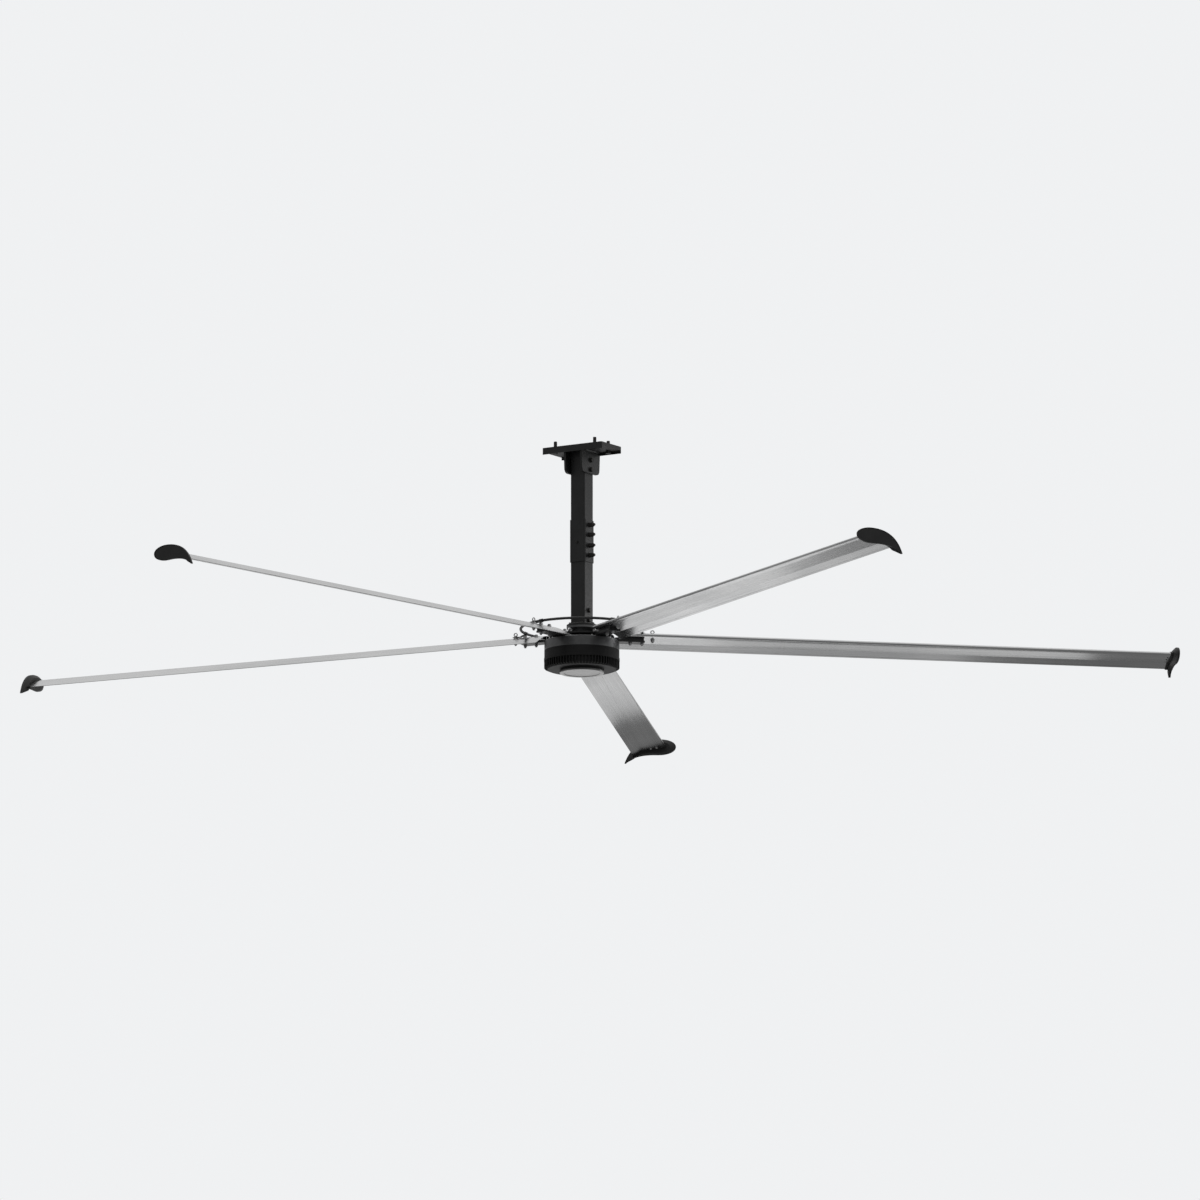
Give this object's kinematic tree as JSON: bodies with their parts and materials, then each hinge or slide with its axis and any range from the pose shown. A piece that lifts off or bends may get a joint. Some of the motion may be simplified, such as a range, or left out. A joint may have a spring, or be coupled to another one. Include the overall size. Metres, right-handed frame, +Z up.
{
  "type": "ceiling fan",
  "caption": "Large slow ceiling fan: square mast on a ceiling bracket, finned outer-rotor motor, wide-set hollow airfoil blades with end winglets, and a safety ring.",
  "frame": {"origin": "centre of the ceiling plate's top face, where the fan bolts up to the ceiling", "axes": "+Z up along the mast, out of the ceiling plate; +X along the plate's long side, square to the bracket's cheeks; +Y along its short side"},
  "size_m": [6.9228, 6.9613, 1.423],
  "materials": {
    "black_paint": "satin",
    "black_casting": "satin",
    "hub_casting": "satin",
    "black_steel": "satin",
    "zinc_steel": "satin",
    "blade_aluminium": "satin",
    "aluminium": "satin",
    "winglet_plastic": "matte",
    "bearing_steel": "polished",
    "core_steel": "satin",
    "coil_copper": "satin",
    "magnet_nickel": "satin",
    "seal_rubber": "matte",
    "bright_trim": "polished"
  },
  "bodies": {
    "mast": {"ceiling_plate": "black_paint", "ceiling_bracket": "black_paint", "ceiling_bolts": "black_steel", "bracket_bolts": "black_steel", "upper_mast_tube": "black_paint", "mast_sleeve": "black_paint", "sleeve_bolts": "black_steel", "sleeve_set_screw": "black_steel", "lower_mast_tube": "black_paint", "mast_foot": "black_paint", "foot_bolts": "black_steel", "flange_screws": "black_steel", "motor_axle": "hub_casting", "upper_bearing_inner_ring": "bearing_steel", "lower_bearing_inner_ring": "bearing_steel", "stator_carrier": "aluminium", "stator_core": "core_steel", "stator_coils": "coil_copper", "shaft_lock_nut": "bearing_steel"},
    "upper_ball_set": {"upper_bearing_balls": "bearing_steel"},
    "lower_ball_set": {"lower_bearing_balls": "bearing_steel"},
    "rotor": {"hub_ring": "hub_casting", "upper_bearing_outer_ring": "bearing_steel", "lower_bearing_outer_ring": "bearing_steel", "shaft_seal": "seal_rubber", "magnet_yoke": "black_casting", "magnets": "magnet_nickel", "finned_shell": "black_casting", "shell_screws": "zinc_steel", "cap_plate": "aluminium", "cap_screws": "zinc_steel", "trim_ring": "bright_trim", "badge_disc": "bright_trim", "clamp_ring": "black_paint", "arm_bolts": "zinc_steel", "arm_nuts": "zinc_steel", "eye_nuts": "zinc_steel", "blade_bolts": "zinc_steel", "blade_nuts": "zinc_steel", "wedge_washers": "zinc_steel", "crush_tubes": "aluminium", "safety_ring": "black_paint", "ring_clips": "black_paint", "eye_bolts": "zinc_steel", "winglet_screws": "zinc_steel", "blade_arm_1": "black_paint", "blade_arm_2": "black_paint", "blade_arm_3": "black_paint", "blade_arm_4": "black_paint", "blade_arm_5": "black_paint", "blade_1": "blade_aluminium", "blade_2": "blade_aluminium", "blade_3": "blade_aluminium", "blade_4": "blade_aluminium", "blade_5": "blade_aluminium", "winglet_1": "winglet_plastic", "winglet_2": "winglet_plastic", "winglet_3": "winglet_plastic", "winglet_4": "winglet_plastic", "winglet_5": "winglet_plastic"}
  },
  "joints": [
    {"name": "rotor_spin", "type": "hinge", "parent": "mast", "child": "rotor", "pos_m": [0, 0, -1.161], "axis": [0, 0, 1], "continuous": true},
    {"name": "upper_ball_roll", "type": "hinge", "parent": "mast", "child": "upper_ball_set", "pos_m": [0, 0, -1.217], "axis": [0, 0, 1], "continuous": true},
    {"name": "lower_ball_roll", "type": "hinge", "parent": "mast", "child": "lower_ball_set", "pos_m": [0, 0, -1.345], "axis": [0, 0, 1], "continuous": true}
  ],
  "couplings": [
    {"joint": "upper_ball_roll", "follows": "rotor_spin", "ratio": 0.5576},
    {"joint": "lower_ball_roll", "follows": "rotor_spin", "ratio": 0.5576}
  ]
}
